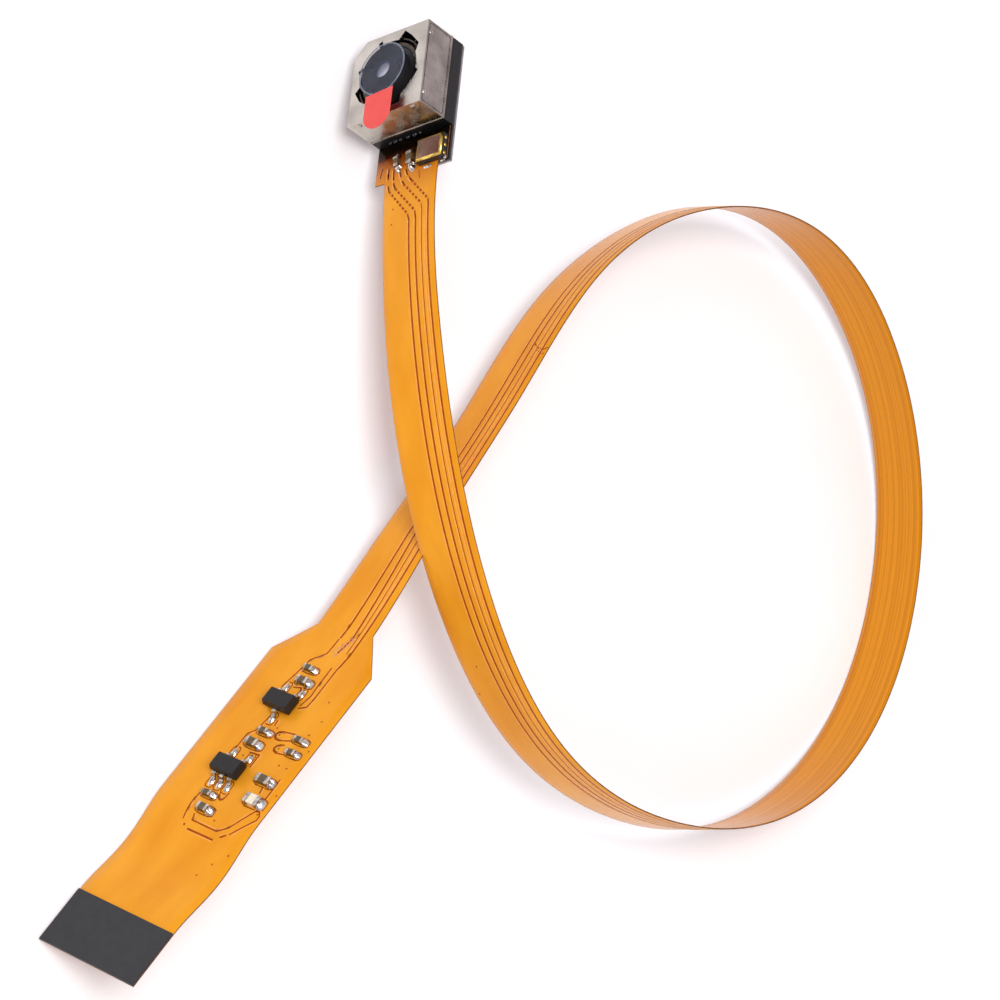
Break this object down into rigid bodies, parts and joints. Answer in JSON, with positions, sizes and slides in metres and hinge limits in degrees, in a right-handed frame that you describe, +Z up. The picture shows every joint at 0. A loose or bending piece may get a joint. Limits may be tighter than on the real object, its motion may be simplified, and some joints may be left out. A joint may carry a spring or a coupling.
{
  "type": "autofocus camera module on a flexible circuit",
  "caption": "Square metal autofocus camera head with a film-covered lens and red pull tab, on a long looped amber flexible circuit that ends in a wide tail with small parts and a stiffener.",
  "frame": {"origin": "on the ground, under the middle of the camera head as it rests", "axes": "+Z up; +X from the head towards the tail; the lens looks towards -Y, tilted a little up"},
  "size_m": [0.0883, 0.0731, 0.0146],
  "materials": {
    "nickel_silver": "bright cold-rolled sheet with smudges",
    "black_lcp": "moulded",
    "magnet": "nickel plated, dark",
    "spring_copper": "bright strip",
    "coil_wire": "enamelled copper wire",
    "barrel_plastic": "matte black moulding",
    "lens_glass": "coated, lavender reflection",
    "clear_film": "clear polyester film",
    "red_film": "satin polyester film",
    "blue_glass": "polished and coated",
    "silicon": "polished",
    "black_epoxy": "moulded",
    "black_mask": "solder mask",
    "stainless": "rolled sheet",
    "crystal_ceramic": "dark alumina",
    "gold_plate": "gold plated lid",
    "chip_ceramic": "sintered ceramic",
    "tin": "tin plated",
    "solder": "bright solder",
    "polyimide": "amber film over copper tracks",
    "stiffener": "dark laminate",
    "contact_gold": "gold plated",
    "cream_ceramic": "sintered ceramic"
  },
  "bodies": {
    "module": {"shield_can": "nickel_silver", "actuator_base": "black_lcp", "magnets": "magnet", "coil_terminals": "spring_copper", "lower_spring": "spring_copper", "upper_spring": "spring_copper", "sensor_holder": "black_lcp", "ir_filter": "blue_glass", "image_sensor": "silicon", "focus_driver": "black_epoxy", "sensor_board": "black_mask", "back_plate": "stainless", "crystal_body": "crystal_ceramic", "crystal_lid": "gold_plate", "board_chips": "chip_ceramic", "board_chip_ends": "tin", "board_solder": "solder", "seam_glue": "black_epoxy", "flex_circuit": "polyimide", "tail_stiffener": "stiffener", "contact_fingers": "contact_gold", "regulator_bodies": "black_epoxy", "regulator_leads": "tin", "tail_chips": "chip_ceramic", "tail_chip_ends": "tin", "tail_solder": "solder", "cream_chip": "cream_ceramic", "cream_chip_ends": "tin"},
    "lens_unit": {"lens_carrier": "black_lcp", "focus_coil": "coil_wire", "lens_barrel": "barrel_plastic", "front_lens": "lens_glass", "middle_lens": "lens_glass", "rear_lens": "lens_glass", "aperture_ring": "barrel_plastic", "lens_retainer": "barrel_plastic", "protective_film": "clear_film", "pull_tab": "red_film"}
  },
  "joints": [
    {"name": "focus_slide", "type": "slide", "parent": "module", "child": "lens_unit", "axis": [0, -0.9491, 0.315], "range_m": [0, 0.0003], "stiffness_N_per_m": 30, "springref_m": -0.00005, "deforming": ["lower_spring", "upper_spring"]}
  ]
}
